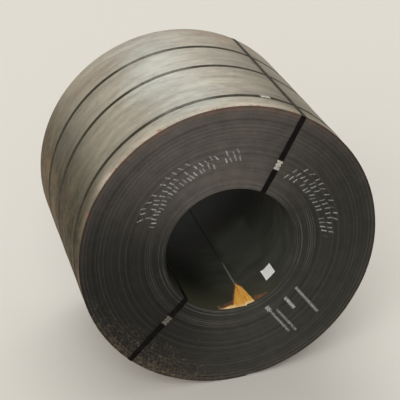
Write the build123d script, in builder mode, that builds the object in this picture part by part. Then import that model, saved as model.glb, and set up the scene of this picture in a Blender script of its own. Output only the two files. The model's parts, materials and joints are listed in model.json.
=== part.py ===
"""A coil of hot-rolled steel strip, lying with its bore level and held by five steel straps.

Millimetres. The bore runs along Y and the near end, the one seen from the front, faces -Y. The
origin is on the floor, under the middle of the coil. Angles round the coil are clock angles:
degrees clockwise from the top, as seen from the near end.
"""

from build123d import *
import os
from dataclasses import dataclass
from math import acos, atan2, cos, degrees, hypot, radians, sin, sqrt

# The strip, and the runs of turns that lie flush with each other, from the bore outwards. Each
# run is its number of turns, and the steps it has slipped along the bore, away from the near end.
strip_width = 1320
strip_thickness = 6
bore_radius = 381
slip_step = 0.5
wound = [
    (3, 0), (7, -3), (5, 2), (7, -1), (13, -6), (6, 3),
    (9, 0), (8, 5), (10, -2), (8, 6), (5, 1),
]

# The straps
strap_width = 32
strap_thickness = 1
tail_length = 70
lap_start = 25

# Bands round the outside: how far each one is from the near end, and its seal's clock angle
near_band_setback = 157
middle_band_setback = 638
far_band_setback = 977
bands = {
    "near": (near_band_setback, 17.5),
    "middle": (middle_band_setback, 62),
    "far": (far_band_setback, 58),
}

# Straps through the bore: the clock angle of each, and its seal's distance from the coil's axis
right_seal_out = 560
left_seal_out = 547
eye_straps = {"right": (30, right_seal_out), "left": (226, left_seal_out)}

# The seals, sleeves of sheet steel crimped round both layers of a lapped strap
seal_length = 57
seal_sheet = 1
seal_play = 0.3
seal_seam = 5
seal_bend = 0.8
notch_size = 9
notch_spacing = 19
notch_pairs = 2

# The paper label on the wall of the bore
label_length = 105
label_width = 74
label_thickness = 0.3
label_setback = 102
label_clock = 136.3


@dataclass
class Run:
    """Turns that lie flush: the radii they fill, and where their two edges are along the bore."""

    inner: float
    outer: float
    slip: float

    @property
    def near(self):
        return self.slip - strip_width / 2

    @property
    def far(self):
        return self.slip + strip_width / 2


def wind():
    """The runs of turns, each one wound on the one before it."""
    runs, radius = [], bore_radius
    for turns, slip in wound:
        runs.append(Run(radius, radius + turns * strip_thickness, slip * slip_step))
        radius = runs[-1].outer
    return runs


runs = wind()
coil_radius = runs[-1].outer
near_end = min(run.near for run in runs)
axis_height = coil_radius + strap_thickness
along_bore = Vector(0, 1, 0)
coil_axis = Axis((0, 0, axis_height), along_bore)
seal_width = strap_width + 2 * seal_play + 2 * seal_sheet
seal_height = 2 * strap_thickness + 2 * seal_sheet


def outward(clock):
    """The direction away from the coil's axis at a clock angle."""
    return Vector(sin(radians(clock)), 0, cos(radians(clock)))


def radial_plane(clock):
    """The half plane through the coil's axis: x is away from the axis, and y is along the bore."""
    out = outward(clock)
    return Plane((0, 0, axis_height), x_dir=out, z_dir=out.cross(along_bore))


def cross_plane(along, clock):
    """A plane across the bore, this far along it, with y pointing out at the clock angle."""
    clockwise = along_bore.cross(outward(clock))
    return Plane((0, along, axis_height), x_dir=clockwise, z_dir=-along_bore)


def taut_line(corners):
    """The closed line of a strap pulled tight round these corners: their convex hull."""

    def half(points):
        chain = []
        for point in points:
            while len(chain) > 1 and turn(chain[-2], chain[-1], point) <= 0:
                chain.pop()
            chain.append(point)
        return chain[:-1]

    def turn(a, b, c):
        return (b[0] - a[0]) * (c[1] - a[1]) - (b[1] - a[1]) * (c[0] - a[0])

    ordered = sorted(set(corners))
    return half(ordered) + half(reversed(ordered))


def strap_side(inside, lap_center, lap_size):
    """A strap seen from its edge: one layer round what it holds, and two where its ends lap."""
    with BuildSketch() as lap:
        add(inside)
        offset(amount=2 * strap_thickness, kind=Kind.INTERSECTION)
        with Locations(lap_center):
            Rectangle(*lap_size, mode=Mode.INTERSECT)
    with BuildSketch() as side:
        add(inside)
        offset(amount=strap_thickness, kind=Kind.INTERSECTION)
        add(lap.sketch)
        add(inside, mode=Mode.SUBTRACT)
    return side.sketch


def make_coil():
    """The wound strip as one turned solid, its turns slipped a little at both ends."""
    with BuildPart() as coil:
        with BuildSketch(Plane.XY.offset(axis_height)):
            for run in runs:
                with Locations(((run.inner + run.outer) / 2, run.slip)):
                    Rectangle(run.outer - run.inner, strip_width)
        revolve(axis=coil_axis)
    return coil


def make_band(along, clock):
    """A band round the outside. It leaves the coil on a tangent to pass over its seal's floor."""
    floor_end = (seal_length / 2, coil_radius + seal_sheet)
    leaves = degrees(atan2(*floor_end) + acos(coil_radius / hypot(*floor_end)))
    with BuildSketch() as inside:
        with BuildLine():
            round_coil = CenterArc((0, 0), coil_radius, 90 + leaves, 360 - 2 * leaves)
            over_floor = [floor_end, (-floor_end[0], floor_end[1])]
            Polyline(round_coil @ 1, *over_floor, round_coil @ 0)
        make_face()
    lap_center = ((tail_length - lap_start) / 2, coil_radius)
    lap_size = (seal_length + tail_length + lap_start, coil_radius / 2)
    with BuildPart() as band:
        with BuildSketch(cross_plane(along, clock)):
            add(strap_side(inside.sketch, lap_center, lap_size))
        extrude(amount=strap_width / 2, both=True)
    return band


def make_eye_strap(clock, seal_out):
    """A strap through the bore. It is straight wherever the coil's edges, the bands and its seal
    don't hold it off. It is flat across, so on the bore's wall it rests on its two edges. The tail
    lies on it between the seal and the bore."""
    corners = []
    for run in runs:
        reached_first = sqrt(run.inner**2 - (strap_width / 2) ** 2)
        for radius in (reached_first, run.outer):
            corners += [(radius, run.near), (radius, run.far)]
    for along, _ in band_places.values():
        for edge in (-strap_width / 2, strap_width / 2):
            corners.append((coil_radius + strap_thickness, along + edge))
    for end in (-seal_length / 2, seal_length / 2):
        corners.append((seal_out + end, near_end - seal_sheet))
    with BuildSketch() as inside:
        with BuildLine():
            Polyline(*taut_line(corners), close=True)
        make_face()
    lap_center = (seal_out - (tail_length - lap_start) / 2, near_end)
    lap_size = (seal_length + tail_length + lap_start, strip_width / 2)
    with BuildPart() as strap:
        with BuildSketch(radial_plane(clock)):
            add(strap_side(inside.sketch, lap_center, lap_size))
        extrude(amount=strap_width / 2, both=True)
    return strap


def make_seal(under):
    """A seal. The plane is the one its floor lies on, with x along the strap and z outwards."""
    with BuildPart() as seal:
        with BuildSketch(Plane(under.origin, x_dir=under.y_dir, z_dir=under.x_dir)):
            with Locations((0, seal_height / 2)):
                outline = Rectangle(seal_width, seal_height)
            chamfer(outline.vertices(), length=seal_bend)
            with Locations((0, seal_sheet + strap_thickness)):
                Rectangle(strap_width + 2 * seal_play, 2 * strap_thickness, mode=Mode.SUBTRACT)
            with Locations((0, seal_sheet / 2)):
                Rectangle(seal_seam, seal_sheet, mode=Mode.SUBTRACT)
        extrude(amount=seal_length / 2, both=True)
        with BuildSketch(under):
            with GridLocations(notch_spacing, seal_width, notch_pairs, 2):
                RegularPolygon(notch_size / 2, 6)
        extrude(amount=seal_height, mode=Mode.SUBTRACT)
    return seal


def make_label():
    """The paper label, curved to the bore's wall."""
    arc = degrees(label_width / bore_radius)
    with BuildPart() as label:
        with BuildSketch(radial_plane(label_clock - arc / 2)):
            along = runs[0].near + label_setback + label_length / 2
            with Locations((bore_radius - label_thickness / 2, along)):
                Rectangle(label_thickness, label_length)
        revolve(axis=coil_axis, revolution_arc=arc)
    return label


def save(piece, name):
    """Names the piece and writes it to its own file."""
    piece.part.label = name
    export_step(piece.part, f"parts/{name}.step")


# Where each band's middle is along the bore
band_places = {
    name: (setback - strip_width / 2, clock) for name, (setback, clock) in bands.items()
}

os.makedirs("parts", exist_ok=True)
save(make_coil(), "coil")
save(make_label(), "label")
for name, (along, clock) in band_places.items():
    save(make_band(along, clock), f"band_{name}")
    out = outward(clock)
    floor = Vector(0, along, axis_height) + out * coil_radius
    save(make_seal(Plane(floor, x_dir=along_bore.cross(out), z_dir=out)), f"seal_band_{name}")
for name, (clock, seal_out) in eye_straps.items():
    save(make_eye_strap(clock, seal_out), f"eye_strap_{name}")
    out = outward(clock)
    floor = Vector(0, near_end, axis_height) + out * seal_out
    save(make_seal(Plane(floor, x_dir=out, z_dir=-along_bore)), f"seal_eye_{name}")
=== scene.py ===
"""The looks of a strapped coil of hot-rolled steel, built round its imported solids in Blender 4.5.

Metres, in the frame of the solids: the bore runs along Y, the near end faces -Y, and the origin is
on the floor under the middle of the coil. Clock angles are degrees clockwise from the top, as seen
from the near end. Colours are written as a screen shows them, from 0 to 255.
"""

from __future__ import annotations

import json
import logging
import math
import random
from dataclasses import dataclass
from enum import Enum
from typing import Any, Union

import bmesh
import bpy
from mathutils import Matrix, Vector, noise

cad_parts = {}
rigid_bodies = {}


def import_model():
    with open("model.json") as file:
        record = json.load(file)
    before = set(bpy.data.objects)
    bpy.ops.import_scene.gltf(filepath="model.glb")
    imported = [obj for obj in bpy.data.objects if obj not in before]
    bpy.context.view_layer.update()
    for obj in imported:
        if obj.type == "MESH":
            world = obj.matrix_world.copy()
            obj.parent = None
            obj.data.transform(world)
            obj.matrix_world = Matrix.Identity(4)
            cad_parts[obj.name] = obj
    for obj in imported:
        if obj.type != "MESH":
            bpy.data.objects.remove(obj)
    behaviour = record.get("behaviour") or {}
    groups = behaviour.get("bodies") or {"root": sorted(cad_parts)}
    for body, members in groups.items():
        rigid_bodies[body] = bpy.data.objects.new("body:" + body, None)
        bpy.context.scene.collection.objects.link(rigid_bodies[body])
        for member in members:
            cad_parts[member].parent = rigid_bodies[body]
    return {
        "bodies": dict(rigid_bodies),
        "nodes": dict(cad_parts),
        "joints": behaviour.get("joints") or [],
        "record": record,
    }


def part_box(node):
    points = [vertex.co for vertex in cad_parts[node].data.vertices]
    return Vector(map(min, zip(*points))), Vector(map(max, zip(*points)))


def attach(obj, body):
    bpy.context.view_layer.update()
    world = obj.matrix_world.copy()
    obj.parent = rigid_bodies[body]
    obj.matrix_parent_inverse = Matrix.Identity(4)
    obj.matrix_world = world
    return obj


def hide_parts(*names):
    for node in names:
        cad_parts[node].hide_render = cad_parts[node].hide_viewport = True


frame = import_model()
log = logging.getLogger("steel coil")

Colour = tuple[float, float, float]
Place = tuple[float, float]

# Clock angles
RIGHT, BOTTOM, LEFT = 90, 180, 270


def seen(red: float, green: float, blue: float) -> Colour:
    """Turns a colour as a screen shows it into the linear one that shaders take.

    Args:
        red: The red, from 0 to 255.
        green: The green, from 0 to 255.
        blue: The blue, from 0 to 255.

    Returns:
        The linear colour, each part from 0 to 1.
    """
    return tuple(
        part / 12.92 if part <= 0.04045 else ((part + 0.055) / 1.055) ** 2.4
        for part in (red / 255, green / 255, blue / 255)
    )


def outward(clock: float) -> Vector:
    """The direction away from the coil's axis at a clock angle."""
    return Vector((math.sin(math.radians(clock)), 0, math.cos(math.radians(clock))))


@dataclass(frozen=True)
class Roll:
    """Where the coil is and how large, as its solid has it."""

    bore_radius: float
    radius: float
    axis_height: float
    near: float
    far: float

    @classmethod
    def from_frame(cls, packed: dict[str, Any]) -> Roll:
        """Reads the coil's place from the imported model, and its radius to a tenth of a millimetre.


        Returns:
            The coil's place and size.
        """
        bore = next(m for m in packed["record"]["mounts"] if m["name"] == "bore")
        height = bore["pos_m"][2]
        low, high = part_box("coil")
        reach = max(math.hypot(v.co.x, v.co.z - height) for v in packed["nodes"]["coil"].data.vertices)
        return cls(bore["dims"]["r_mm"] / 1000, round(reach, 4), height, low.y, high.y)

    @property
    def middle(self) -> Vector:
        """The middle of the coil."""
        return Vector((0, (self.near + self.far) / 2, self.axis_height))

    def point(self, clock: float, out: float, along: float) -> Vector:
        """The point at a clock angle, this far from the axis and this far along the bore."""
        return outward(clock) * out + Vector((0, along, self.axis_height))

    def clock(self, point: Vector) -> float:
        """The clock angle of a point, from -180 to 180."""
        return math.degrees(math.atan2(point.x, point.z - self.axis_height))

    def out(self, point: Vector) -> float:
        """How far a point is from the axis."""
        return math.hypot(point.x, point.z - self.axis_height)


class Wire:
    """An output of a shader node, which takes part in sums as a number does."""

    def __init__(self, graph: Graph, socket: bpy.types.NodeSocket) -> None:
        """Wraps the socket of a node of this graph."""
        self.graph = graph
        self.socket = socket

    def __add__(self, other: Number) -> Wire:
        """The sum with another wire or number."""
        return self.graph.maths("ADD", self, other)

    __radd__ = __add__

    def __mul__(self, other: Number) -> Wire:
        """The product with another wire or number."""
        return self.graph.maths("MULTIPLY", self, other)

    __rmul__ = __mul__

    def __sub__(self, other: Number) -> Wire:
        """This less another wire or number."""
        return self.graph.maths("SUBTRACT", self, other)

    def __rsub__(self, other: Number) -> Wire:
        """A number less this."""
        return self.graph.maths("SUBTRACT", other, self)

    def __truediv__(self, other: Number) -> Wire:
        """This divided by another wire or number."""
        return self.graph.maths("DIVIDE", self, other)

    def __pow__(self, power: float) -> Wire:
        """This to a power."""
        return self.graph.maths("POWER", self, power)

    def __abs__(self) -> Wire:
        """This without its sign."""
        return self.graph.maths("ABSOLUTE", self)

    def least(self, other: Number) -> Wire:
        """The lesser of this and another."""
        return self.graph.maths("MINIMUM", self, other)

    def most(self, other: Number) -> Wire:
        """The greater of this and another."""
        return self.graph.maths("MAXIMUM", self, other)

    def rises(self, low: float, high: float) -> Wire:
        """Goes smoothly from 0 to 1 as this goes from low to high, or down if low is the larger.

        Args:
            low: Where the result is 0.
            high: Where the result is 1.

        Returns:
            The mask.
        """
        settings = {"interpolation_type": "SMOOTHSTEP"}
        if low <= high:
            values = {"Value": self, "From Min": low, "From Max": high}
            return self.graph.node("ShaderNodeMapRange", settings, values).wire("Result")
        return 1 - self.rises(high, low)

    def within(self, low: float, high: float, soft: float) -> Wire:
        """1 where this is between low and high, with edges this soft, and 0 elsewhere."""
        return self.rises(low - soft, low + soft) * self.rises(high + soft, high - soft)


Number = Union[Wire, float]


class Node:
    """A shader node of a graph."""

    def __init__(self, graph: Graph, node: bpy.types.ShaderNode) -> None:
        """Wraps a node of this graph."""
        self.graph = graph
        self.node = node

    def wire(self, output: str | int = 0) -> Wire:
        """The output of this name or number."""
        return Wire(self.graph, self.node.outputs[output])


class Graph:
    """The shader nodes of one material or of the world."""

    def __init__(self, tree: bpy.types.NodeTree) -> None:
        """Starts with no nodes."""
        self.tree = tree
        tree.nodes.clear()

    def node(self, kind: str, settings: dict[str, Any], values: dict[str, Any]) -> Node:
        """Adds a node.

        Args:
            kind: Its type, such as ShaderNodeTexNoise.
            settings: Its own settings, set before its sockets. The stops of a ramp are a list of
                (place, colour) pairs.
            values: The value or wire of each input, by name, identifier or number.

        Returns:
            The node.
        """
        made = self.tree.nodes.new(kind)
        for name, setting in settings.items():
            if name == "stops":
                self._stop(made.color_ramp, setting)
            else:
                setattr(made, name, setting)
        for name, value in values.items():
            socket = self._input(made, name)
            if isinstance(value, Wire):
                self.tree.links.new(value.socket, socket)
            elif isinstance(value, tuple) and len(value) == 3 and socket.type == "RGBA":
                socket.default_value = (*value, 1)
            else:
                socket.default_value = value
        return Node(self, made)

    @staticmethod
    def _input(node: bpy.types.ShaderNode, name: str | int) -> bpy.types.NodeSocket:
        """The input of this identifier, or else of this name or number."""
        found = [socket for socket in node.inputs if socket.identifier == name]
        return found[0] if found else node.inputs[name]

    @staticmethod
    def _stop(ramp: bpy.types.ColorRamp, stops: list[tuple[float, Colour]]) -> None:
        """Gives a ramp these stops in place of its own.

        Args:
            ramp: The ramp.
            stops: The place and colour of each stop, two at least.
        """
        while len(ramp.elements) < len(stops):
            ramp.elements.new(0.5)
        for element, (place, colour) in zip(ramp.elements, stops):
            element.position = place
            element.color = (*colour, 1)

    def maths(self, operation: str, *terms: Number) -> Wire:
        """Adds a Math node for one operation on wires and numbers."""
        values = dict(enumerate(terms))
        return self.node("ShaderNodeMath", {"operation": operation}, values).wire()

    def vector(self, x: Number, y: Number, z: Number) -> Wire:
        """Joins three wires or numbers into a vector."""
        return self.node("ShaderNodeCombineXYZ", {}, {"X": x, "Y": y, "Z": z}).wire()

    def place(self) -> Wire:
        """The place of the shaded point, in the frame of the solids."""
        return self.node("ShaderNodeTexCoord", {}, {}).wire("Object")

    def split(self, vector: Wire) -> tuple[Wire, Wire, Wire]:
        """The X, Y and Z of a vector."""
        parts = self.node("ShaderNodeSeparateXYZ", {}, {"Vector": vector})
        return parts.wire("X"), parts.wire("Y"), parts.wire("Z")

    def mix(
        self, share: Number, first: Wire | Colour, second: Wire | Colour, blend: str = "MIX"
    ) -> Wire:
        """Mixes two colours.

        Args:
            share: How much of the second is taken, from 0 to 1.
            first: The colour at 0.
            second: The colour at 1.
            blend: How they are blended.

        Returns:
            The mixed colour.
        """
        settings = {"data_type": "RGBA", "blend_type": blend}
        values = {"Factor_Float": share, "A_Color": first, "B_Color": second}
        return self.node("ShaderNodeMix", settings, values).wire(2)

    def shaded(self, colour: Wire, shade: Wire) -> Wire:
        """A colour made darker or lighter by a factor."""
        return self.mix(1.0, colour, self.vector(shade, shade, shade), "MULTIPLY")

    def noise(self, place: Wire, scale: float, detail: float, rough: float, bend: float = 0) -> Wire:
        """Smooth noise.

        Args:
            place: The place that it is read at.
            scale: How many features it has in each unit of the place.
            detail: How many finer layers it has.
            rough: How strong those are.
            bend: How much it is distorted.

        Returns:
            The noise, mostly from 0.3 to 0.7.
        """
        values = {
            "Vector": place, "Scale": scale, "Detail": detail, "Roughness": rough, "Distortion": bend,
        }
        return self.node("ShaderNodeTexNoise", {}, values).wire("Fac")

    def chance(self, value: Wire) -> Wire:
        """A random number from 0 to 1, the same wherever the value is the same."""
        settings = {"noise_dimensions": "1D"}
        return self.node("ShaderNodeTexWhiteNoise", settings, {"W": value}).wire("Value")

    def attribute(self, name: str) -> Wire:
        """A number that the piece's own mesh holds."""
        return self.node("ShaderNodeAttribute", {"attribute_name": name}, {}).wire("Fac")

    def bump(self, height: Wire, depth: float) -> Wire:
        """A normal that follows a height, which is this many metres for each 1."""
        values = {"Height": height, "Distance": depth, "Strength": 1.0}
        return self.node("ShaderNodeBump", {}, values).wire()


@dataclass(frozen=True)
class Finish:
    """A finish with one Principled shader. Each kind of finish paints its own graph."""

    name: str

    def material(self) -> bpy.types.Material:
        """Makes the finish a material.

        Returns:
            The material.
        """
        made = bpy.data.materials.new(self.name)
        made.use_nodes = True
        graph = Graph(made.node_tree)
        shader = graph.node("ShaderNodeBsdfPrincipled", {}, self.paint(graph))
        graph.node("ShaderNodeOutputMaterial", {}, {"Surface": shader.wire()})
        return made

    def paint(self, graph: Graph) -> dict[str, Any]:
        """Draws the finish.

        Args:
            graph: The graph of the material.

        Returns:
            The values and wires of the shader's sockets.
        """
        raise NotImplementedError


class Around:
    """Where a shaded point is on the coil: along the bore, out from the axis, and round it.

    Its clock jumps at the bottom, and its full clock, from 0 to 360, jumps at the top.
    """

    # How much finer streaks are outwards than along the bore
    finer_outwards = 1.7

    def __init__(self, graph: Graph, roll: Roll) -> None:
        """Measures the place from the coil's axis.

        Args:
            graph: The graph of the material.
            roll: The coil.
        """
        down = {"Vector": graph.place(), "Location": (0, 0, -roll.axis_height)}
        self.graph = graph
        self.place = graph.node("ShaderNodeMapping", {}, down).wire()
        self.side, self.along, self.up = graph.split(self.place)
        self.out = (self.side * self.side + self.up * self.up) ** 0.5
        self.clock = graph.maths("ARCTAN2", self.side, self.up) * math.degrees(1)
        self.full_clock = 180 - graph.maths("ARCTAN2", self.side, 0 - self.up) * math.degrees(1)

    def facing(self, clock: float) -> Wire:
        """1 at this clock angle, 0 a quarter turn from it and -1 opposite it."""
        turn = math.radians(clock)
        return (self.up * math.cos(turn) + self.side * math.sin(turn)) / self.out

    def spots(self, scale: float, detail: float, rough: float, bend: float = 0) -> Wire:
        """Noise that looks the same in every direction, with this many features in a metre."""
        return self.graph.noise(self.place, scale, detail, rough, bend)

    def streaks(
        self, across: float, around: float, detail: float, rough: float, bend: float = 0
    ) -> Wire:
        """Noise drawn out round the coil, with no seam.

        Args:
            across: How many features it has in a metre along the bore.
            around: How many features it has in a radian round the coil.
            detail: How many finer layers it has.
            rough: How strong those are.
            bend: How much it is distorted.

        Returns:
            The noise, mostly from 0.3 to 0.7.
        """
        east, north = self.side / self.out, self.up / self.out
        crosswise = self.along * across + self.out * (across * self.finer_outwards)
        place = self.graph.vector(east * around, crosswise, north * around)
        return self.graph.noise(place, 1.0, detail, rough, bend)

    def mottle(self) -> Wire:
        """Soft blotches a few centimetres across, from -0.5 to 0.5."""
        return self.spots(14, 5, 0.68, 0.4).rises(0.34, 0.66) - 0.5


@dataclass(frozen=True)
class ChalkStroke:
    """A straight stroke of chalk on the near end, between two places across and up from the axis.

    It fades from its core, which is a share of its half width, to its sides.
    """

    start: Place
    end: Place
    half_width: float
    strength: float
    core: float = 0.3
    soft_end: float = 0.004

    def mask(self, around: Around) -> Wire:
        """1 on the stroke and 0 off it.

        Args:
            around: Where the shaded point is.

        Returns:
            The mask.
        """
        run, rise = self.end[0] - self.start[0], self.end[1] - self.start[1]
        length = math.hypot(run, rise)
        run, rise = run / length, rise / length
        right, up = around.side - self.start[0], around.up - self.start[1]
        past = right * run + up * rise
        off = abs(right * rise - up * run)
        line = off.rises(self.half_width, self.half_width * self.core)
        return line * past.within(0, length, self.soft_end) * self.strength


@dataclass(frozen=True)
class ChalkRow:
    """A row of short chalk dabs on the near end, which all lean one way, like tally strokes.

    The row starts and ends at clock angles, and climbs from its first distance from the axis to
    its last. The lean is how many dabs further on a dab's top is than its middle. Some dabs are
    missing, and the rest sway and stray a little.
    """

    clocks: Place
    outs: Place
    height: float
    count: int
    lean: float
    strength: float = 0.85
    half_width: float = 0.0060
    core: float = 0.25
    missing: Place = (0.14, 0.18)
    sway: float = 0.4
    stray: float = 0.3
    seed: float = 0.1

    def mask(self, around: Around) -> Wire:
        """1 on the dabs and 0 off them.

        Args:
            around: Where the shaded point is.

        Returns:
            The mask.
        """
        graph = around.graph
        along_row = (around.clock - self.clocks[0]) / (self.clocks[1] - self.clocks[0])
        up = (around.out - along_row * (self.outs[1] - self.outs[0]) - self.outs[0]) / self.height
        counted = along_row * self.count + up * self.lean
        number = graph.maths("FLOOR", counted)
        luck, tilt, place, rise = (graph.chance(number + self.seed + i * 0.2) for i in range(4))
        spacing = math.radians(self.clocks[1] - self.clocks[0]) * self.outs[0] / self.count
        right = graph.maths("FRACT", counted) - 0.5
        off = abs(right + up * (tilt - 0.5) * self.sway + (place - 0.5) * self.stray) * spacing
        dab = off.rises(self.half_width, self.half_width * self.core) * luck.rises(*self.missing)
        tall = abs(up + (rise - 0.5) * self.sway).rises(0.5, 0.34)
        return dab * tall * (self.strength * (0.5 + luck * 0.5)) * along_row.within(0, 1, 0.002)


@dataclass(frozen=True)
class Daub:
    """Paint daubed at the bore's mouth: a fan that comes to a point inside, with a tail to its left.

    Clocks and the softness of its sides are in degrees, depths in metres from the near end, and
    slopes in metres for each degree. Its sides stray by degrees for each metre that its edge strays.
    """

    clocks: Place = (160.0, 193.0)
    point_clock: float = 167.0
    depth: float = 0.245
    left_slope: float = 0.0185
    tail_depth: float = 0.046
    tail_slope: float = 0.0028
    tail_clock: float = 177.5
    right_slope: float = 0.016
    corner_slope: float = 0.055
    soft: float = 0.006
    soft_sides: float = 0.4
    sides_stray: float = 20.0

    def reach(self, around: Around) -> Wire:
        """How deep the daub goes at the shaded point's clock angle.

        Args:
            around: Where the shaded point is.

        Returns:
            The depth, in metres from the near end.
        """
        clock = around.full_clock
        left = (clock - self.point_clock).most(0)
        right = (self.point_clock - clock).most(0)
        tail = self.tail_depth - (clock - self.tail_clock).most(0) * self.tail_slope
        fan = self.depth - left * self.left_slope - right * self.right_slope
        corner = (clock - self.clocks[0]) * self.corner_slope
        return fan.most(tail * clock.rises(self.point_clock, self.point_clock + 1)).least(corner)

    def mask(self, around: Around, deep: Wire, wobble: Wire) -> Wire:
        """1 on the daub and 0 off it.

        Args:
            around: Where the shaded point is.
            deep: How deep in the bore that is.
            wobble: How far the daub's edge strays.

        Returns:
            The mask.
        """
        clock = around.full_clock + wobble * self.sides_stray
        inside = (self.reach(around) + wobble - deep).rises(-self.soft, self.soft)
        return inside * clock.within(*self.clocks, self.soft_sides)


@dataclass(frozen=True)
class WrapScale(Finish):
    """The scale on the outside of hot-rolled strip: mottled, streaked along the rolling direction,
    with dust low down, and paler and rusty along the near edge. Its colour holds painted light and
    shade: a pale grey painted highlight on the crown and dark painted shade low down on the sides.

    The painted highlight is palest at the lit clock angle and, a little less, at the shoulder's. The
    blush grows between two places along the bore. The near margin, which is dimmer by the right
    strap and paler where the crown is painted lit, and its rust grow between two distances from the
    near edge.
    """

    roll: Roll
    # Clock angles of the painted highlight on the crown and of its weaker copy on the shoulder
    lit_clock: float = -12.0
    shoulder_clock: float = 48.0
    shoulder: float = 0.80
    strap_clock: float = 30.0
    # Where painted shade darkens the wrap just right of the crown's painted highlight
    painted_shade_clock: float = 18.0
    blushed: Place = (0.10, 0.55)
    margin_fades: Place = (0.12, 0.01)
    rust_fades: Place = (0.18, 0.03)
    rust_thickens: Place = (0.09, 0.003)
    # From the dark painted shade low on the sides to the pale painted highlight on the crown
    lit_and_shaded_tones: tuple[tuple[float, Colour], ...] = (
        (-1.0, seen(64, 57, 44)),
        (0.20, seen(62, 57, 44)),
        (0.50, seen(61, 58, 45)),
        (0.67, seen(90, 86, 71)),
        (0.84, seen(138, 131, 115)),
        (0.95, seen(155, 148, 133)),
        (1.0, seen(167, 168, 158)),
    )
    blush: Colour = seen(150, 128, 108)
    margin: Colour = seen(188, 176, 160)
    rust: Colour = seen(156, 104, 72)
    stain: Colour = seen(92, 70, 50)
    dust: Colour = seen(150, 127, 96)

    def paint(self, graph: Graph) -> dict[str, Any]:
        """Draws the scale with its painted light and shade, the near margin, the rust and the dust.

        Args:
            graph: The graph of the material.

        Returns:
            The values and wires of the shader's sockets.
        """
        around = Around(graph, self.roll)
        # crown is 1 where the wrap is painted lit, and falls towards the painted shade on the sides
        crown = around.facing(self.lit_clock).most(around.facing(self.shoulder_clock) * self.shoulder)
        low = crown.rises(0.85, 0.40)
        wide = around.streaks(9, 1.6, 5, 0.62)
        fine = around.streaks(150, 2.4, 4, 0.65)
        cloud = around.spots(1.7, 4, 0.55, 0.3)
        grain = around.spots(320, 2, 0.6)
        # Painted light and shade: pale on the lit crown, dark low down on the sides
        colour = self.tone(graph, crown + (cloud - 0.5) * 0.10)
        far_blush = around.along.rises(*self.blushed) * (cloud * 0.5 + wide * 0.5).rises(0.40, 0.58)
        colour = graph.mix(far_blush * (0.45 - 0.38 * low), colour, self.blush)
        runs = around.streaks(13, 3.2, 5, 0.64) * 0.6 + cloud * 0.4
        colour = graph.mix(runs.rises(0.47, 0.66) * low * 0.6, colour, self.stain)
        near = around.along - self.roll.near
        by_strap = around.facing(self.strap_clock).rises(0.94, 0.99)
        lit = (0.15 + 0.85 * crown.rises(0.64, 0.83)) * (1 - by_strap * 0.6)
        # The pale near margin is scaled by the painted light on the crown, and dimmer by the right strap
        pale = near.rises(*self.margin_fades) * (0.3 + 0.7 * cloud.rises(0.40, 0.58)) * lit
        colour = graph.mix(pale, colour, self.margin)
        rusty = near.rises(*self.rust_thickens) * 0.16 + around.spots(30, 5, 0.66, 0.5)
        rusty = rusty.rises(0.66, 0.80)
        colour = graph.mix(rusty * near.rises(*self.rust_fades) * 0.8, colour, self.rust)
        freckles = around.spots(70, 4, 0.72).rises(0.64, 0.76)
        colour = graph.mix(freckles * 0.35, colour, self.rust)
        settled = low * 0.08 + around.facing(BOTTOM).rises(-0.2, 0.9) * 0.1 + cloud * 0.3
        powder = around.spots(85, 5, 0.74) * 0.5 + around.streaks(30, 8, 5, 0.7) * 0.5
        colour = graph.mix((powder + settled).rises(0.60, 1.00) * low * 0.7, colour, self.dust)
        flakes = around.streaks(20, 5, 7, 0.74, 0.5).rises(0.53, 0.58)
        scratched = around.streaks(230, 1.3, 2, 0.5).rises(0.67, 0.71) * cloud.rises(0.35, 0.6)
        # dull is painted shade just right of the crown's painted highlight
        dull = around.facing(self.painted_shade_clock).rises(0.972, 0.996)
        shade = 0.62 + 0.26 * fine + 0.14 * grain + 0.4 * wide.rises(0.70, 0.30)
        shade = shade - 0.09 * flakes + 0.10 * scratched - 0.07 * dull
        shade = shade + around.mottle() * (0.16 + 0.20 * low)
        return {
            "Base Color": graph.shaded(colour, shade),
            "Roughness": 0.36 + 0.20 * cloud + 0.14 * fine + 0.1 * rusty + 0.4 * low + 0.08 * flakes,
            "Metallic": 0.2,
            "Specular IOR Level": 0.3,
            "Normal": graph.bump(fine * 0.3 + grain * 0.15 + wide * 0.3, 0.0009),
        }

    def tone(self, graph: Graph, crown: Wire) -> Wire:
        """The scale's colour with its painted light and shade, from how near the lit crown it is."""
        stops = [((place + 1) / 2, colour) for place, colour in self.lit_and_shaded_tones]
        return graph.node("ShaderNodeValToRGB", {"stops": stops}, {"Fac": (crown + 1) * 0.5}).wire()


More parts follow.
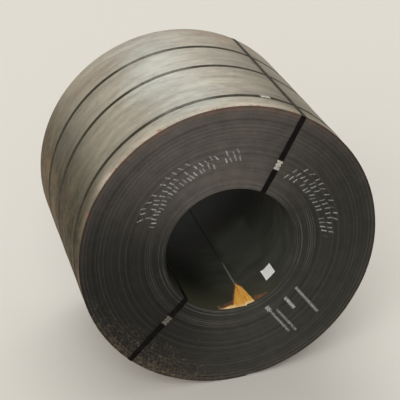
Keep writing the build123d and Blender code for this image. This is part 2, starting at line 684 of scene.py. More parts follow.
@dataclass(frozen=True)
class EdgeScale(Finish):
    """The turns' edges on the two ends, each a little lighter or darker, with chalk on the near one.

    Painted shade darkens the ends on the left and right, and painted light makes them paler towards
    the lit clock angle at the top. Rust grows between two turns, and some edges get paler between two
    distances from the axis. Dust lies low on the left: its slope is how much a metre across and a
    metre up count, and it grows between two sums of them. Chalk is only on the near end, so it starts
    between two places along the bore.
    """

    roll: Roll
    lit_clock: float = -8.0
    rusty_turns: Place = (73.0, 81.0)
    paler: Place = (0.60, 0.40)
    dust_slope: Place = (0.62, 0.78)
    low_left: Place = (-0.55, -0.90)
    chalky: Place = (-0.5, -0.6)
    edge: Colour = seen(49, 47, 41)
    # Painted light paler at the top of the ends, then painted shade darker on their left and right
    blush: Colour = seen(86, 80, 75)
    painted_shade: Colour = seen(22, 21, 18)
    pale: Colour = seen(104, 100, 94)
    rust: Colour = seen(120, 78, 54)
    dust: Colour = seen(140, 124, 96)
    chalk: Colour = seen(190, 190, 186)
    rows: tuple[ChalkRow, ...] = (
        ChalkRow((-64, 8), (0.502, 0.562), 0.036, 27, 0.45),
        ChalkRow((-63, 7), (0.542, 0.602), 0.034, 23, 0.50, seed=0.3),
        ChalkRow((-64, -20), (0.584, 0.616), 0.030, 11, 0.55, seed=0.9),
        ChalkRow((38, 92), (0.530, 0.556), 0.036, 18, -0.45, seed=0.5),
        ChalkRow((40, 91), (0.573, 0.595), 0.036, 16, -0.50, seed=0.7),
        ChalkRow((45, 84), (0.615, 0.629), 0.030, 10, -0.40, seed=1.1),
    )
    tally: tuple[ChalkStroke, ...] = (
        ChalkStroke((0.200, -0.412), (0.224, -0.446), 0.018, 0.9),
        ChalkStroke((0.204, -0.418), (0.338, -0.608), 0.010, 0.55),
        ChalkStroke((0.262, -0.440), (0.382, -0.610), 0.010, 0.5),
        ChalkStroke((0.314, -0.372), (0.370, -0.451), 0.014, 0.95),
        ChalkStroke((0.380, -0.316), (0.516, -0.509), 0.012, 0.6),
    )

    def paint(self, graph: Graph) -> dict[str, Any]:
        """Draws the edges, turn by turn, their painted light and shade, and what lies on them.

        Args:
            graph: The graph of the material.

        Returns:
            The values and wires of the shader's sockets.
        """
        around = Around(graph, self.roll)
        turn = graph.attribute("turn")
        luck = graph.chance(graph.maths("FLOOR", turn + 0.5))
        arcs = around.streaks(0, 1.4, 2, 0.5)
        groups = graph.noise(graph.vector(turn * 0.16, 0.0, 0.0), 1.0, 4, 0.6)
        cloud = around.spots(3.0, 5, 0.6, 0.5)
        grit = around.spots(190, 3, 0.7)
        # Painted shade darkens the ends on the left and right, and painted light makes the top paler
        left, right = around.facing(LEFT).rises(-0.1, 0.75), around.facing(RIGHT).rises(0.2, 0.8)
        colour = graph.mix(left * 0.95 + right * 0.4, self.edge, self.painted_shade)
        upper = around.facing(self.lit_clock).most(0) ** 2.4
        varied = 0.7 + 0.3 * (groups * 0.5 + cloud * 0.5).rises(0.36, 0.62)
        colour = graph.mix(upper * varied, colour, self.blush)
        near_bore = around.out.rises(*self.paler) * arcs.rises(0.42, 0.62)
        colour = graph.mix(luck.rises(0.60, 0.98) * (0.10 + 0.35 * near_bore), colour, self.pale)
        patches = around.spots(36, 5, 0.7, 0.5)
        rim = turn.rises(*self.rusty_turns) * patches.rises(0.30, 0.62) * (0.06 + 0.42 * upper)
        colour = graph.mix((patches.rises(0.62, 0.78) * 0.3).most(rim), colour, self.rust)
        shade = 0.74 + 0.26 * luck + 0.30 * grit + 0.26 * around.mottle()
        colour = graph.shaded(colour, shade)
        across, up = self.dust_slope
        settled = (around.side * across + around.up * up).rises(*self.low_left)
        powder = around.spots(60, 6, 0.8) + settled * 0.14
        colour = graph.mix(powder.rises(0.56, 0.84) * settled.rises(0, 0.3) * 0.6, colour, self.dust)
        colour = graph.mix(self.chalked(around, grit), colour, self.chalk)
        return {
            "Base Color": colour,
            "Roughness": 0.55 + 0.25 * cloud,
            "Metallic": 0.15,
            "Specular IOR Level": 0.35,
            "Normal": graph.bump(grit, 0.0006),
        }

    def chalked(self, around: Around, grit: Wire) -> Wire:
        """Draws the chalk on the near end, broken up by the grit under it.

        Args:
            around: Where the shaded point is.
            grit: The fine noise of the edges.

        Returns:
            How much chalk there is, from 0 to 1.
        """
        marks = [mark.mask(around) for mark in (*self.rows, *self.tally)]
        total = marks[0]
        for mark in marks[1:]:
            total = total.most(mark)
        return total * around.along.rises(*self.chalky) * grit.rises(0.38, 0.58)


@dataclass(frozen=True)
class BoreScale(Finish):
    """The wall of the bore: dark scale with painted shade, painted light on the right and at the
    lower left of its mouth, and a daub of ochre at its mouth.

    Depths are from the near end. Each pair is where something starts and where it is full, but the
    painted glow and the bared edge of the strip lie between their two.
    """

    roll: Roll
    cut_end_clock: float
    # Painted light: the right wall paler towards the mouth, with a painted glow of light deeper in
    painted_light_clock: float = 125.0
    painted_light_depths: Place = (1.0, 0.45)
    painted_glow_clock: float = 146.0
    painted_glow_depths: Place = (0.3, 0.82)
    # Painted light on the lower left, paler towards the mouth
    painted_mouth_light_clock: float = 190.0
    painted_mouth_light_depths: Place = (0.42, -0.05)
    bared_depths: Place = (0.20, 0.50)
    bared_beside: float = 0.2
    cream_depths: Place = (0.045, 0.012)
    skipped_depths: Place = (0.02, 0.12)
    stain_beyond: float = 0.03
    # Dark scale, made darker still as painted shade inside the bore
    scale: Colour = seen(12, 15, 10)
    # The colour of the painted light on the right wall
    pale: Colour = seen(64, 64, 58)
    # The colour of the painted light on the lower left at the mouth
    low_left: Colour = seen(66, 66, 50)
    brown: Colour = seen(44, 36, 28)
    bared: Colour = seen(128, 131, 126)
    ochre: Colour = seen(232, 174, 80)
    deep_ochre: Colour = seen(196, 132, 52)
    cream: Colour = seen(242, 216, 164)
    rust: Colour = seen(128, 84, 56)
    daub: Daub = Daub()
    smear: Daub = Daub(
        clocks=(147.0, 166.0), point_clock=157.0, depth=0.055, left_slope=0.003, right_slope=0.004,
        corner_slope=0.02, tail_depth=0.0, tail_slope=0.0, tail_clock=166.0,
    )

    def paint(self, graph: Graph) -> dict[str, Any]:
        """Draws the scale, its painted light and shade, the cut end's bared edge and the daub.

        Args:
            graph: The graph of the material.

        Returns:
            The values and wires of the shader's sockets.
        """
        around = Around(graph, self.roll)
        drawn = around.streaks(12, 1.8, 4, 0.6)
        cloud = around.spots(4.0, 4, 0.6, 0.3)
        grain = around.spots(230, 2, 0.6)
        deep = around.along - self.roll.near
        # Painted light on the right wall near the mouth, and a painted glow deeper in
        right = around.facing(self.painted_light_clock).rises(0.15, 0.85) * deep.rises(*self.painted_light_depths)
        painted_glow = around.facing(self.painted_glow_clock).rises(0.90, 0.99)
        right = right.most(painted_glow * deep.within(*self.painted_glow_depths, 0.12) * 1.5)
        colour = graph.mix(right * (0.65 + 0.35 * drawn.rises(0.35, 0.65)), self.scale, self.pale)
        # Painted light on the lower left wall, fading inwards from the mouth
        painted_mouth_light = around.facing(self.painted_mouth_light_clock).rises(0.3, 1.0) * deep.rises(*self.painted_mouth_light_depths)
        colour = graph.mix(painted_mouth_light * (0.7 + 0.3 * cloud), colour, self.low_left)
        colour = graph.mix(cloud.rises(0.50, 0.70) * 0.4, colour, self.brown)
        off_edge = abs(around.full_clock - self.cut_end_clock + self.bared_beside)
        edge = off_edge.rises(0.9, 0.3) * deep.within(*self.bared_depths, 0.05)
        colour = graph.mix(edge * 0.75, colour, self.bared)
        wobble = (around.spots(26, 4, 0.65) - 0.5) * 0.035
        stain = self.daub.mask(around, deep - self.stain_beyond, wobble * 2) * cloud.rises(0.38, 0.56)
        stain = stain.most(self.smear.mask(around, deep, wobble * 2))
        thin = around.spots(30, 3, 0.6).rises(0.44, 0.58)
        colour = graph.mix(stain * (0.35 + 0.35 * thin), colour, self.rust)
        strokes = graph.noise(graph.vector(around.full_clock * 0.8, deep * 7, 0.0), 1.0, 4, 0.62)
        tint = graph.mix(strokes.rises(0.42, 0.62) * 0.7, self.ochre, self.deep_ochre)
        tint = graph.mix(deep.rises(*self.cream_depths) * (0.35 + 0.65 * thin), tint, self.cream)
        skipped = (strokes * 0.6 + thin * 0.2).rises(0.36, 0.58) * deep.rises(*self.skipped_depths) * 0.3
        colour = graph.mix(self.daub.mask(around, deep, wobble) * (1 - skipped), colour, tint)
        return {
            "Base Color": colour,
            "Roughness": 0.80 + 0.16 * cloud,
            "Metallic": 0.0,
            "Specular IOR Level": 0.1,
            "Normal": graph.bump(drawn * 0.3 + grain * 0.25, 0.001),
        }


@dataclass(frozen=True)
class Strapping(Finish):
    """Black lacquered strapping, a little rusty where it is worn, with dust on top, and paler at the
    crown with a painted highlight.
    """

    roll: Roll
    lacquer: Colour = seen(7, 6, 5)
    faded: Colour = seen(20, 18, 15)
    rust: Colour = seen(72, 48, 34)
    dust: Colour = seen(66, 60, 44)
    # The colour of the painted highlight at the crown
    painted_highlight: Colour = seen(128, 125, 116)
    dust_clock: float = -20.0
    painted_highlight_clock: float = -14.0
    top_step: float = 0.004

    def paint(self, graph: Graph) -> dict[str, Any]:
        """Draws the lacquer and its scuffs, the rust and dust on it, and the painted highlight at the
        crown.

        Args:
            graph: The graph of the material.

        Returns:
            The values and wires of the shader's sockets.
        """
        around = Around(graph, self.roll)
        scuffs = around.spots(18, 5, 0.65, 0.6)
        specks = around.spots(210, 3, 0.7)
        colour = graph.mix(scuffs.rises(0.46, 0.70), self.lacquer, self.faded)
        worn = (scuffs * 0.5 + specks * 0.5).rises(0.58, 0.68)
        colour = graph.mix(worn * 0.5, colour, self.rust)
        on_top = around.out.rises(self.roll.radius - self.top_step, self.roll.radius)
        lying = around.facing(self.dust_clock).rises(-0.2, 0.9) * on_top
        colour = graph.mix(lying * (0.25 + 0.6 * specks.rises(0.35, 0.65)), colour, self.dust)
        # Painted highlight: the straps paler on top near the crown, broken by the scuffs
        crown = around.facing(self.painted_highlight_clock).rises(0.965, 0.995) * on_top
        colour = graph.mix(crown * scuffs.rises(0.36, 0.56) * 0.75, colour, self.painted_highlight)
        return {
            "Base Color": colour,
            "Roughness": 0.46 + 0.3 * scuffs.rises(0.3, 0.7),
            "Metallic": 0.0,
            "Specular IOR Level": 0.08,
            "Normal": graph.bump(specks * 0.2 + scuffs * 0.2, 0.0004),
        }


@dataclass(frozen=True)
class Zinc(Finish):
    """The pale zinc of the seals, smeared with dirt, and darker between two heights and below by
    painted shade in the same colour as the dirt.
    """

    bright: Colour = seen(186, 184, 176)
    dull: Colour = seen(122, 118, 110)
    grime_and_shade: Colour = seen(66, 60, 52)
    shade_heights: Place = (0.75, 0.55)

    def paint(self, graph: Graph) -> dict[str, Any]:
        """Draws the spangle of the zinc, the dirt on it, and the painted shade on the lower seals.

        Args:
            graph: The graph of the material.

        Returns:
            The values and wires of the shader's sockets.
        """
        place = graph.place()
        spangle = graph.node("ShaderNodeTexVoronoi", {}, {"Vector": place, "Scale": 320.0})
        cells, _, _ = graph.split(spangle.wire("Color"))
        smears = graph.noise(place, 60, 4, 0.65)
        colour = graph.mix(cells * 0.5 + smears.rises(0.4, 0.65) * 0.4, self.bright, self.dull)
        _, _, height = graph.split(place)
        # Painted shade: the seals darker the lower they are, in the colour of the smeared dirt
        low = height.rises(*self.shade_heights)
        grime_and_shade_mask = (smears + low * 0.13).rises(0.56, 0.68) * 0.7
        colour = graph.mix(grime_and_shade_mask.most(low * 0.8), colour, self.grime_and_shade)
        return {
            "Base Color": colour,
            "Roughness": 0.38 + 0.25 * smears + 0.2 * low,
            "Metallic": 0.45,
            "Normal": graph.bump(smears + cells * 0.1, 0.0004),
        }


@dataclass(frozen=True)
class Paper(Finish):
    """Plain white paper, creased where it was smoothed down, with a few specks of dirt."""

    sheet: Colour = seen(252, 252, 248)
    soiled: Colour = seen(206, 202, 190)

    def paint(self, graph: Graph) -> dict[str, Any]:
        """Draws the paper.

        Args:
            graph: The graph of the material.

        Returns:
            The values and wires of the shader's sockets.
        """
        place = graph.place()
        creases = graph.noise(place, 24, 4, 0.5, 1.2)
        dirt = graph.noise(place, 90, 4, 0.7)
        colour = graph.mix(dirt.rises(0.54, 0.72) * 0.6, self.sheet, self.soiled)
        return {
            "Base Color": colour,
            "Roughness": 0.75 + 0.15 * dirt,
            "Normal": graph.bump(abs(creases - 0.5) + dirt * 0.1, 0.0015),
        }


@dataclass(frozen=True)
class StudioFloor(Finish):
    """The plain pale floor."""

    tone: Colour = seen(226, 223, 216)

    def paint(self, graph: Graph) -> dict[str, Any]:
        """Gives the floor its one colour."""
        return {"Base Color": self.tone, "Roughness": 1.0, "Specular IOR Level": 0.0}


# The points of one turn in the wound strip's outline, on each end: a groove and four on its edge
POINTS_PER_TURN = 5


class Surface(Enum):
    """The surfaces of the wound coil, numbered as their finishes are on its piece."""

    WRAP = 0
    ENDS = 1
    BORE = 2


@dataclass(frozen=True)
class Turn:
    """One turn of the strip: where its two edges are along the bore."""

    near: float
    far: float


@dataclass(frozen=True)
class Nick:
    """A place where the outermost turns' near edges are bent in: its clock angle, width and depth."""

    clock: float
    half_width: float
    depth: float

    def bend(self, clock: float) -> float:
        """How far the edge is bent in at a clock angle."""
        off = abs((clock - self.clock + 180) % 360 - 180) / self.half_width
        return self.depth * (1 - off * off) ** 2 if off < 1 else 0.0


@dataclass
class WoundStrip:
    """The strip, wound turn on turn, with every turn's edge showing on both ends.

    The turns are round, and at one clock angle each climbs onto the one inside it, where the strip's
    two cut ends are: one inside the bore, and one underneath the coil. A run is a count of turns and
    how many slip steps they stand along the bore from the middle. Each turn's edge is flat between
    two shares of its thickness, and set back by the shoulder at its rounded corners.
    """

    roll: Roll
    thickness: float = 0.006
    width: float = 1.320
    slip_step: float = 0.0005
    runs: tuple[tuple[int, int], ...] = (
        (3, 0), (7, -3), (5, 2), (7, -1), (13, -6), (6, 3),
        (9, 0), (8, 5), (10, -2), (8, 6), (5, 1),
    )
    wander: float = 0.0006
    ripple: float = 0.0009
    ripples_round: float = 2.6
    ripples_a_turn: float = 0.7
    nicks: tuple[Nick, ...] = (
        Nick(-34, 7, 0.0036), Nick(-62, 9, 0.0024), Nick(8, 11, 0.0018), Nick(47, 7, 0.0030),
        Nick(83, 10, 0.0024), Nick(121, 8, 0.0034), Nick(205, 9, 0.0028), Nick(262, 7, 0.0030),
    )
    nicked_turns: int = 3
    groove: float = 0.0018
    rounding: float = 0.0009
    shoulder: float = 0.00035
    flat: Place = (0.36, 0.64)
    cut_end_clock: float = 167.5
    climb_span: float = 8.0
    steps_round: int = 104
    steps_up: int = 5
    crease_angle: float = 50.0
    loose_turn: int = 3
    loose_clocks: Place = (58.0, 112.0)
    loose_gap: float = 0.0024
    loose_depth: float = 0.0192
    weld_distance: float = 0.00002
    seed: int = 4

    def turns(self) -> list[Turn]:
        """Places every turn, each a little off the run that it is in.

        Returns:
            The turns, from the bore outwards.
        """
        luck = random.Random(self.seed)
        half = self.width / 2
        found: list[Turn] = []
        for count, slip in self.runs:
            for _ in range(count):
                shift = slip * self.slip_step + luck.uniform(-1, 1) * self.wander
                shift = max(self.roll.near + half, min(self.roll.far - half, shift))
                found.append(Turn(shift - half, shift + half))
        return found

    def edge_line(self, edges: list[float], inward: float) -> list[Place]:
        """The line across all turns' edges on one end: rounded edges with a groove between them.

        Args:
            edges: Where each turn's edge is along the bore.
            inward: 1 if going into the coil from this end is along +Y, and -1 if it is along -Y.

        Returns:
            Places out from the axis and along the bore, five for each turn and one to close.
        """
        line: list[Place] = []
        inner = self.roll.bore_radius
        for i, edge in enumerate(edges):
            deeper = edge if i == 0 else inward * max(inward * edge, inward * edges[i - 1])
            bottom = (inner, deeper + inward * self.groove)
            crown = [
                (inner + self.rounding, edge + inward * self.shoulder),
                (inner + self.thickness * self.flat[0], edge),
                (inner + self.thickness * self.flat[1], edge),
                (inner + self.thickness - self.rounding, edge + inward * self.shoulder),
            ]
            line += [bottom, *crown]
            inner += self.thickness
        line.append((inner, edges[-1] + inward * self.groove))
        return line

    def build(self) -> bpy.types.Object:
        """Winds the strip.

        Returns:
            The finished piece.
        """
        turns = self.turns()
        near = self.edge_line([turn.near for turn in turns], 1)
        far = self.edge_line([turn.far for turn in turns], -1)
        mesh = bmesh.new()
        number = mesh.verts.layers.int.new("number")
        rank = mesh.verts.layers.float.new("rank")
        self.wind(mesh, number, rank, near + far)
        self.weld(mesh)
        self.wear(mesh, rank)
        self.loosen(mesh)
        self.mark(mesh)
        return self.finish(mesh)

    def wind(self, mesh: bmesh.types.BMesh, number: Any, rank: Any, outline: list[Place]) -> None:
        """Spins the outline round the axis, and carries the last few degrees up one turn.

        Args:
            mesh: The mesh, still empty.
            number: The layer that keeps each vertex's place in the outline.
            rank: The layer that keeps how many turns are inside each vertex.
            outline: The places of the near line and then the far line.
        """
        half = len(outline) // 2
        for i, (out, along) in enumerate(outline):
            vertex = mesh.verts.new(self.roll.point(self.cut_end_clock, out, along))
            vertex[number] = i
            vertex[rank] = i % half // POINTS_PER_TURN
        first = sorted(mesh.verts, key=lambda vertex: vertex[number])
        for start in (0, half):
            for i in range(start, start + half - 1):
                mesh.edges.new((first[i], first[i + 1]))
        for i in (0, half - 1):
            mesh.edges.new((first[i], first[half + i]))
        self.seal_off(mesh, first, 0)
        edges = self.ring_edges(first, 0, half - 1)
        last = self.spin(mesh, edges, 360 - self.climb_span, self.steps_round, number)
        outermost = half - 1 - POINTS_PER_TURN
        self.seal_off(mesh, last, outermost)
        before = set(mesh.verts)
        self.spin(mesh, self.ring_edges(last, 0, outermost), self.climb_span, self.steps_up, number)
        for vertex in set(mesh.verts) - before:
            vertex[rank] += self.climb(vertex, number, outline)

    @staticmethod
    def ring_edges(ring: list[Any], start: int, stop: int) -> list[Any]:
        """The edges of a ring from one groove to another, near and far, and across at both.

        Args:
            ring: The ring's vertices, in the outline's order.
            start: The first groove's place in the near line.
            stop: The last groove's place in the near line.

        Returns:
            The edges.
        """
        half = len(ring) // 2
        near, far = (set(ring[side + start : side + stop + 1]) for side in (0, half))
        across = [{ring[i], ring[half + i]} for i in (start, stop)]
        edges = {edge for vertex in near | far for edge in vertex.link_edges}
        return [
            edge for edge in edges
            if near.issuperset(edge.verts) or far.issuperset(edge.verts) or set(edge.verts) in across
        ]

    def seal_off(self, mesh: bmesh.types.BMesh, ring: list[Any], start: int) -> None:
        """Closes a cut end of the strip, which is one turn of a ring.

        Args:
            mesh: The mesh.
            ring: The ring's vertices, in the outline's order.
            start: The place in the near line of the groove that the turn starts at.
        """
        half, stop = len(ring) // 2, start + POINTS_PER_TURN
        for i in (start, stop):
            if mesh.edges.get((ring[i], ring[half + i])) is None:
                mesh.edges.new((ring[i], ring[half + i]))
        bmesh.ops.contextual_create(mesh, geom=self.ring_edges(ring, start, stop))

    def spin(
        self, mesh: bmesh.types.BMesh, edges: list[Any], arc: float, steps: int, number: Any
    ) -> list[Any]:
        """Spins edges round the coil's axis, the way that the strip is wound.

        Args:
            mesh: The mesh.
            edges: The edges to spin.
            arc: How far, in degrees.
            steps: In how many steps.
            number: The layer that keeps each vertex's place in the outline.

        Returns:
            The vertices of the last ring, in the outline's order.
        """
        vertices = list({vertex for edge in edges for vertex in edge.verts})
        made = bmesh.ops.spin(
            mesh, geom=vertices + edges, cent=self.roll.middle, axis=(0, -1, 0),
            angle=math.radians(arc), steps=steps, use_merge=False,
        )
        last = [item for item in made["geom_last"] if isinstance(item, bmesh.types.BMVert)]
        return sorted(last, key=lambda vertex: vertex[number])

    def climb(self, vertex: Any, number: Any, outline: list[Place]) -> float:
        """Moves a vertex of the last few degrees towards the same place on the next turn out.

        Args:
            vertex: The vertex.
            number: The layer that keeps its place in the outline.
            outline: The places of the near line and then the far line.

        Returns:
            How much of the way up it is, from 0 to 1.
        """
        share = 1 - max(0.0, min(1.0, self.clock_past_end(vertex) / self.climb_span))
        eased = share * share * (3 - 2 * share)
        clock = self.cut_end_clock + self.climb_span * (1 - share)
        here, there = outline[vertex[number]], outline[vertex[number] + POINTS_PER_TURN]
        out = here[0] + (there[0] - here[0]) * eased
        along = here[1] + (there[1] - here[1]) * eased
        vertex.co = self.roll.point(clock, out, along)
        return eased

    def clock_past_end(self, vertex: Any) -> float:
        """The vertex's clock angle past the strip's inner cut end, in degrees."""
        return (self.roll.clock(vertex.co) - self.cut_end_clock + 180) % 360 - 180

    def weld(self, mesh: bmesh.types.BMesh) -> None:
        """Merges the top of the climb with the start of the turns that it reaches."""
        bmesh.ops.remove_doubles(mesh, verts=mesh.verts, dist=self.weld_distance)
        bmesh.ops.recalc_face_normals(mesh, faces=mesh.faces)

    def wear(self, mesh: bmesh.types.BMesh, rank: Any) -> None:
        """Lets every turn's edge wander in on its way round, and bends the outermost ones in more.

        Args:
            mesh: The mesh.
            rank: The layer that keeps how many turns are inside each vertex.
        """
        turns = sum(count for count, _ in self.runs)
        for vertex in mesh.verts:
            clock = self.roll.clock(vertex.co)
            from_turn = Vector((0, vertex[rank] * self.ripples_a_turn, 0))
            place = outward(clock) * self.ripples_round + from_turn
            inward = 1 if vertex.co.y < self.roll.middle.y else -1
            vertex.co.y += inward * self.ripple * (0.5 + 0.5 * noise.noise(place))
            outer = max(0.0, 1 - (turns - vertex[rank]) / self.nicked_turns)
            if outer and inward == 1:
                vertex.co.y += outer * max(nick.bend(clock) for nick in self.nicks)

    def loosen(self, mesh: bmesh.types.BMesh) -> None:
        """Opens a thin crescent between the innermost turns on the right of the bore's mouth.

        Args:
            mesh: The mesh.
        """
        parting = self.roll.bore_radius + self.loose_turn * self.thickness
        first, last = self.loose_clocks
        for vertex in mesh.verts:
            clock, off = self.roll.clock(vertex.co), self.roll.out(vertex.co) - parting
            if abs(off) > self.thickness / 2 or not first < clock < last or vertex.co.y > 0:
                continue
            swell = math.sin(math.pi * (clock - first) / (last - first))
            if abs(off) < self.rounding / 2:
                vertex.co.y += swell * self.loose_depth
            else:
                reach = math.copysign(self.loose_gap * swell * (1 - abs(off) / self.thickness), off)
                vertex.co += outward(clock) * reach

    def mark(self, mesh: bmesh.types.BMesh) -> None:
        """Notes on each face which turn it is on, and which of the coil's surfaces.

        Only a face that spans the strip's width is larger than half the strip's section.

        Args:
            mesh: The mesh.
        """
        turn = mesh.faces.layers.float.new("turn")
        last = sum(count for count, _ in self.runs) - 1
        for face in mesh.faces:
            out = self.roll.out(face.calc_center_median())
            rank = (out - self.roll.bore_radius) / self.thickness - 0.5
            face[turn] = min(max(rank, 0), last)
            surface = Surface.ENDS
            if face.calc_area() > self.width * self.thickness / 2:
                surface = Surface.WRAP if rank > last / 2 else Surface.BORE
            face.material_index = surface.value

    def finish(self, mesh: bmesh.types.BMesh) -> bpy.types.Object:
        """Turns the mesh into the finished piece.

        Args:
            mesh: The mesh, which is freed.

        Returns:
            The piece.
        """
        piece = as_piece(mesh, "wound_strip", self.crease_angle)
        finishes = {
            Surface.WRAP: WrapScale("wrap scale", self.roll),
            Surface.ENDS: EdgeScale("edge scale", self.roll),
            Surface.BORE: BoreScale("bore scale", self.roll, self.cut_end_clock),
        }
        for surface in Surface:
            piece.data.materials.append(finishes[surface].material())
        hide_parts("coil")
        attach(piece, "root")
        return piece


def as_piece(mesh: bmesh.types.BMesh, name: str, crease_angle: float = 30) -> bpy.types.Object:
    """Makes an object of a mesh, smooth but for its creases.

    Args:
        mesh: The mesh, which is freed.
        name: The piece's name.
        crease_angle: The angle between faces, in degrees, past which their edge stays sharp.

    Returns:
        The object, at the origin.
    """
    data = bpy.data.meshes.new(name)
    mesh.to_mesh(data)
    mesh.free()
    data.shade_smooth()
    data.set_sharp_from_angle(angle=math.radians(crease_angle))
    piece = bpy.data.objects.new(name, data)
    bpy.context.scene.collection.objects.link(piece)
    return piece


@dataclass
class Straps:
    """The bands round the coil and the straps through its bore, as their solids have them."""

    roll: Roll
    bands: tuple[str, ...] = ("near", "middle", "far")
    eye_straps: tuple[str, ...] = ("right", "left")

    def build(self) -> list[bpy.types.Object]:
        """Gives each strap's node its finish.

        Returns:
            The nodes.
        """
        names = [f"band_{name}" for name in self.bands]
        names += [f"eye_strap_{name}" for name in self.eye_straps]
        finish = Strapping("strapping", self.roll).material()
        nodes = [frame["nodes"][name] for name in names]
        for node in nodes:
            dress(node, finish)
        return nodes


def dress(node: bpy.types.Object, finish: bpy.types.Material) -> None:
    """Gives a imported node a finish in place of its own.

    Args:
        node: The node's object.
        finish: The finish.
    """
    for slot in node.material_slots:
        slot.material = finish
    if not node.material_slots:
        node.data.materials.append(finish)


@dataclass(frozen=True)
class Reach:
    """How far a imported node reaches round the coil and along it."""

    clocks: Place
    alongs: Place

    @classmethod
    def of(cls, node: str, roll: Roll) -> Reach:
        """Measures a node.

        Args:
            node: Its name.
            roll: The coil.

        Returns:
            Its lowest and highest clock angle and place along the bore.
        """
        places = [vertex.co for vertex in frame["nodes"][node].data.vertices]
        clocks = [roll.clock(place) for place in places]
        alongs = [place.y for place in places]
        return cls((min(clocks), max(clocks)), (min(alongs), max(alongs)))


class SealOn(Enum):
    """What a seal closes: a band round the outside, or a strap through the bore."""

    BAND = "band"
    EYE_STRAP = "eye"


@dataclass
class Seal:
    """A crimped sleeve of sheet steel that closes a strap, with two pairs of notches in its sides.

    The notch cuts are where the mesh is cut for a notch, in its radii from its middle.
    """

    roll: Roll
    on: SealOn
    name: str
    length: float = 0.057
    width: float = 0.0346
    height: float = 0.004
    sheet: float = 0.001
    fold: float = 0.0011
    fold_steps: int = 3
    notch_radius: float = 0.0046
    notch_places: Place = (-0.0095, 0.0095)
    notch_cuts: tuple[float, ...] = (-1.0, -0.92, -0.7, -0.38, 0.0, 0.38, 0.7, 0.92, 1.0)
    notch_dent: float = 0.0008
    mouth_depth: float = 0.003
    crease_angle: float = 40.0

    @property
    def node(self) -> str:
        """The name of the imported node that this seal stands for."""
        return f"seal_{self.on.value}_{self.name}"

    def build(self, finish: bpy.types.Material) -> bpy.types.Object:
        """Makes the seal and puts it on its strap.

        Args:
            finish: Its finish.

        Returns:
            The piece.
        """
        mesh = bmesh.new()
        bmesh.ops.create_cube(mesh, size=1)
        bmesh.ops.scale(mesh, vec=(self.length, self.width, self.height), verts=mesh.verts)
        bmesh.ops.translate(mesh, vec=(0, 0, self.height / 2), verts=mesh.verts)
        self.open_mouths(mesh)
        self.fold_sides(mesh)
        self.notch(mesh)
        bmesh.ops.transform(mesh, matrix=self.place(), verts=mesh.verts)
        bmesh.ops.recalc_face_normals(mesh, faces=mesh.faces)
        piece = as_piece(mesh, f"crimped_{self.node}", self.crease_angle)
        piece.data.materials.append(finish)
        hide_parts(self.node)
        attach(piece, "root")
        return piece

    def open_mouths(self, mesh: bmesh.types.BMesh) -> None:
        """Sinks both ends, where the strap goes in, behind a lip as thick as the sheet.

        Args:
            mesh: The mesh.
        """
        mouths = [face for face in mesh.faces if abs(face.normal.x) > 0.5]
        bmesh.ops.inset_individual(mesh, faces=mouths, thickness=self.sheet, depth=0)
        for face in mouths:
            inward = -self.mouth_depth * face.normal
            pushed = bmesh.ops.extrude_discrete_faces(mesh, faces=[face])["faces"]
            bmesh.ops.translate(mesh, vec=inward, verts=list({v for f in pushed for v in f.verts}))

    def fold_sides(self, mesh: bmesh.types.BMesh) -> None:
        """Rounds the long folds of the sheet.

        Args:
            mesh: The mesh.
        """
        half = self.width / 2 - self.sheet / 4
        folds = [
            edge for edge in mesh.edges
            if all(abs(v.co.y) > half for v in edge.verts) and edge.calc_length() > self.length * 0.9
        ]
        bmesh.ops.bevel(
            mesh, geom=folds, offset=self.fold, segments=self.fold_steps, profile=0.5,
            affect="EDGES", material=-1,
        )

    def notch(self, mesh: bmesh.types.BMesh) -> None:
        """Presses the notches into both sides, and dents the top round them.

        Args:
            mesh: The mesh.
        """
        for place in self.notch_places:
            for cut in self.notch_cuts:
                plane = (place + cut * self.notch_radius, 0, 0)
                everything = mesh.verts[:] + mesh.edges[:] + mesh.faces[:]
                bmesh.ops.bisect_plane(mesh, geom=everything, plane_co=plane, plane_no=(1, 0, 0))
        half = self.width / 2
        for vertex in mesh.verts:
            off = min(abs(vertex.co.x - place) for place in self.notch_places) / self.notch_radius
            bite = self.notch_radius * math.sqrt(max(0.0, 1 - off * off))
            vertex.co.y *= (half - bite) / half
            if vertex.co.z > self.height / 2:
                vertex.co.z -= self.notch_dent * bite / self.notch_radius

    def place(self) -> Matrix:
        """Finds where the middle of the seal's underside lies on its strap.

        Returns:
            The place, with x along the strap and z away from the coil.
        """
        clock = sum(Reach.of(self.node, self.roll).clocks) / 2
        away = outward(clock) if self.on is SealOn.BAND else Vector((0, -1, 0))
        run = Vector((0, 1, 0)).cross(away) if self.on is SealOn.BAND else outward(clock)
        low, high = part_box(self.node)
        floor = (low + high) / 2 - away * self.height / 2
        turned = Matrix((run, away.cross(run), away)).transposed()
        return Matrix.Translation(floor) @ turned.to_4x4()


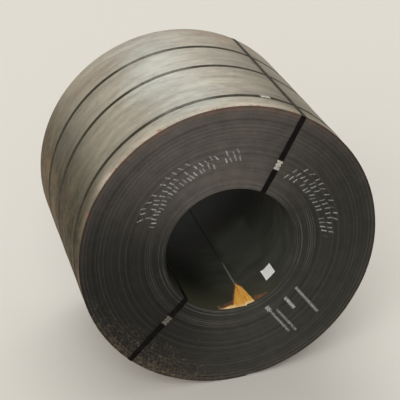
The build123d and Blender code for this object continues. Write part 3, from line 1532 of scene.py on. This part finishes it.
@dataclass
class BoreLabel:
    """The plain paper label on the wall of the bore, creased, with one corner coming away.

    The creases are how many it has in half its width and in half its length.
    """

    roll: Roll
    thickness: float = 0.0003
    steps: tuple[int, int] = (28, 36)
    crease: float = 0.0009
    creases: Place = (1.3, 13 / 7)
    curl: float = 0.006
    curled_part: float = 0.3
    crease_angle: float = 60.0

    def build(self) -> bpy.types.Object:
        """Makes the label and lays it on the wall.

        Returns:
            The piece.
        """
        mesh = bmesh.new()
        bmesh.ops.create_grid(mesh, x_segments=self.steps[0], y_segments=self.steps[1], size=1)
        reach = Reach.of("label", self.roll)
        for vertex in mesh.verts:
            vertex.co = self.laid(vertex.co.x, vertex.co.y, reach)
        bmesh.ops.recalc_face_normals(mesh, faces=mesh.faces)
        bmesh.ops.solidify(mesh, geom=mesh.faces[:], thickness=self.thickness)
        piece = as_piece(mesh, "paper_label", self.crease_angle)
        piece.data.materials.append(Paper("label paper").material())
        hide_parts("label")
        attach(piece, "root")
        return piece

    def laid(self, across: float, along: float, reach: Reach) -> Vector:
        """Lays a point of the flat label on the wall.

        Args:
            across: Where it is across the label, whose sides are at -1 and 1.
            along: Where it is along the label, in the same way.
            reach: How far the label reaches.

        Returns:
            The point on the wall.
        """
        clock = reach.clocks[0] + (reach.clocks[1] - reach.clocks[0]) * (across + 1) / 2
        depth = reach.alongs[0] + (reach.alongs[1] - reach.alongs[0]) * (along + 1) / 2
        place = Vector((across * self.creases[0], along * self.creases[1], 0))
        lift = self.crease * abs(noise.noise(place))
        corner = max(0.0, (across + along) / 2 - 1 + self.curled_part) / self.curled_part
        lift += self.curl * corner * corner
        return self.roll.point(clock, self.roll.bore_radius - self.thickness * 1.5 - lift, depth)


@dataclass(frozen=True)
class Lamp:
    """A soft, even light from one side: the wider its angle in degrees, the softer its shadows."""

    name: str
    place: tuple[float, float, float]
    angle: float
    strength: float

    def hang(self, target: Vector) -> None:
        """Hangs the lamp.

        Args:
            target: What it is aimed at.
        """
        light = bpy.data.lights.new(self.name, "SUN")
        light.angle = math.radians(self.angle)
        light.energy = self.strength
        hung = bpy.data.objects.new(self.name, light)
        hung.location = self.place
        hung.rotation_euler = (target - Vector(self.place)).to_track_quat("-Z", "Y").to_euler()
        bpy.context.scene.collection.objects.link(hung)


@dataclass
class Studio:
    """The floor, the light and the camera, whose forward and down are its first directions."""

    roll: Roll
    floor_side: float = 60.0
    sky: Colour = seen(226, 223, 216)
    sky_strength: float = 0.6
    lamps: tuple[Lamp, ...] = (
        Lamp("back lamp", (0.9, 5.0, 5.6), 50, 1.15),
        Lamp("front lamp", (-3.0, -5.6, 4.4), 60, 1.8),
    )
    camera_place: tuple[float, float, float] = (-1.683, -6.572, 4.312)
    camera_forward: tuple[float, float, float] = (0.49396, 0.83092, -0.25608)
    camera_down: tuple[float, float, float] = (-0.07884, -0.25050, -0.96490)
    picture_width: float = 36.0
    focal_length: float = 113.0

    def build(self) -> None:
        """Sets the floor, the light and the camera."""
        self.lay_floor()
        self.light()
        self.aim()

    def lay_floor(self) -> None:
        """Lays the plain pale floor."""
        mesh = bmesh.new()
        bmesh.ops.create_grid(mesh, x_segments=1, y_segments=1, size=self.floor_side / 2)
        floor = as_piece(mesh, "studio_floor")
        floor.data.materials.append(StudioFloor("studio floor").material())

    def light(self) -> None:
        """Lights the coil softly from above, and from all round by the sky."""
        scene = bpy.context.scene
        scene.world = bpy.data.worlds.new("studio sky")
        scene.world.use_nodes = True
        graph = Graph(scene.world.node_tree)
        path = graph.node("ShaderNodeLightPath", {}, {})
        shown = path.wire("Is Camera Ray").most(path.wire("Is Glossy Ray"))
        shown = shown.most(path.wire("Is Transmission Ray"))
        strength = shown * (1 - self.sky_strength) + self.sky_strength
        sky = graph.node("ShaderNodeBackground", {}, {"Color": self.sky, "Strength": strength})
        graph.node("ShaderNodeOutputWorld", {}, {"Surface": sky.wire()})
        for lamp in self.lamps:
            lamp.hang(self.roll.middle)

    def aim(self) -> None:
        """Sets the camera at its place, turned from its first direction to the coil's middle."""
        forward, down = Vector(self.camera_forward), Vector(self.camera_down)
        right = down.cross(forward).normalized()
        stance = Matrix((right, -down, -forward)).transposed()
        wanted = (self.roll.middle - Vector(self.camera_place)).normalized()
        turn = forward.rotation_difference(wanted).to_matrix()
        lens = bpy.data.cameras.new("camera")
        lens.sensor_width = self.picture_width
        lens.lens = self.focal_length
        camera = bpy.data.objects.new("camera", lens)
        camera.matrix_world = Matrix.Translation(self.camera_place) @ (turn @ stance).to_4x4()
        bpy.context.scene.collection.objects.link(camera)
        bpy.context.scene.camera = camera
        bpy.context.scene.view_settings.view_transform = "Standard"


def main() -> None:
    """Builds the coil's looks, piece by piece, and reports each."""
    logging.basicConfig(level=logging.INFO, format="%(message)s")
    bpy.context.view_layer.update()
    roll = Roll.from_frame(frame)
    Studio(roll).build()
    strip = WoundStrip(roll).build()
    log.info("%s: %d faces", strip.name, len(strip.data.polygons))
    for strap in Straps(roll).build():
        log.info("%s: dressed", strap.name)
    zinc = Zinc("seal zinc").material()
    for on, names in ((SealOn.BAND, Straps.bands), (SealOn.EYE_STRAP, Straps.eye_straps)):
        for name in names:
            seal = Seal(roll, on, name).build(zinc)
            log.info("%s: %d faces", seal.name, len(seal.data.polygons))
    label = BoreLabel(roll).build()
    log.info("%s: %d faces", label.name, len(label.data.polygons))


if __name__ == "__main__":
    main()
